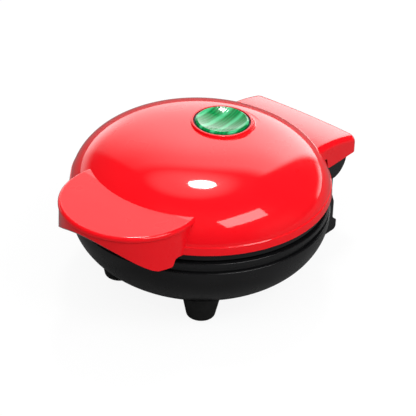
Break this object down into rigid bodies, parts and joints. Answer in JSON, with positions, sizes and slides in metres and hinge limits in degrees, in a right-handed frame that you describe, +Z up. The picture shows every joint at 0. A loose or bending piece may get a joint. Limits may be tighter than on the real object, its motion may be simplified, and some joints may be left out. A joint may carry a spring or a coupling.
{
  "type": "mini waffle maker",
  "caption": "Countertop waffle maker with a round hinged lid, an indicator lens in its dome, a tab handle, round waffle plates inside, and a black bowl on feet.",
  "frame": {"origin": "on the table under the dome's axis, at the centre of the bounding box's bottom", "axes": "+Z up, -Y towards the handle at the front, +Y towards the hinge, +X to the right seen from the front"},
  "size_m": [0.122, 0.1668, 0.0761],
  "materials": {
    "red_lid": "high gloss",
    "green_lens": "translucent gloss",
    "black_housing": "satin",
    "lamp_glass": "clear",
    "nonstick_plate": "dark non-stick coating",
    "plated_steel": "zinc plated",
    "element_sheath": "heat tinted",
    "rubber": "matt",
    "terminal": "off-white moulding"
  },
  "bodies": {
    "base": {"base_shell": "black_housing", "base_rim_ring": "black_housing", "lower_waffle_plate": "nonstick_plate", "lower_heating_element": "element_sheath", "lower_heat_shield": "plated_steel", "base_screw_1": "plated_steel", "base_screw_2": "plated_steel", "base_screw_3": "plated_steel", "thermostat": "plated_steel", "thermal_fuse": "plated_steel", "terminal_block": "terminal", "cord_inlet_bush": "rubber", "front_foot_left": "rubber", "front_foot_right": "rubber", "rear_foot_pad_left": "rubber", "rear_foot_pad_right": "rubber", "hinge_pin": "plated_steel"},
    "lid": {"lid_shell": "red_lid", "indicator_lens": "green_lens", "lens_bezel": "black_housing", "lamp_cup": "black_housing", "indicator_lamp": "lamp_glass", "lid_inner_housing": "black_housing", "upper_waffle_plate": "nonstick_plate", "upper_heating_element": "element_sheath", "upper_heat_shield": "plated_steel", "upper_plate_screw_1": "plated_steel", "upper_plate_screw_2": "plated_steel", "upper_plate_screw_3": "plated_steel", "lid_housing_screw_1": "plated_steel", "lid_housing_screw_2": "plated_steel", "lid_housing_screw_3": "plated_steel"}
  },
  "joints": [
    {"name": "lid_hinge", "type": "hinge", "parent": "base", "child": "lid", "pos_m": [0, 0.0673, 0.0412], "axis": [-1, 0, 0], "range_deg": [0, 96]}
  ]
}
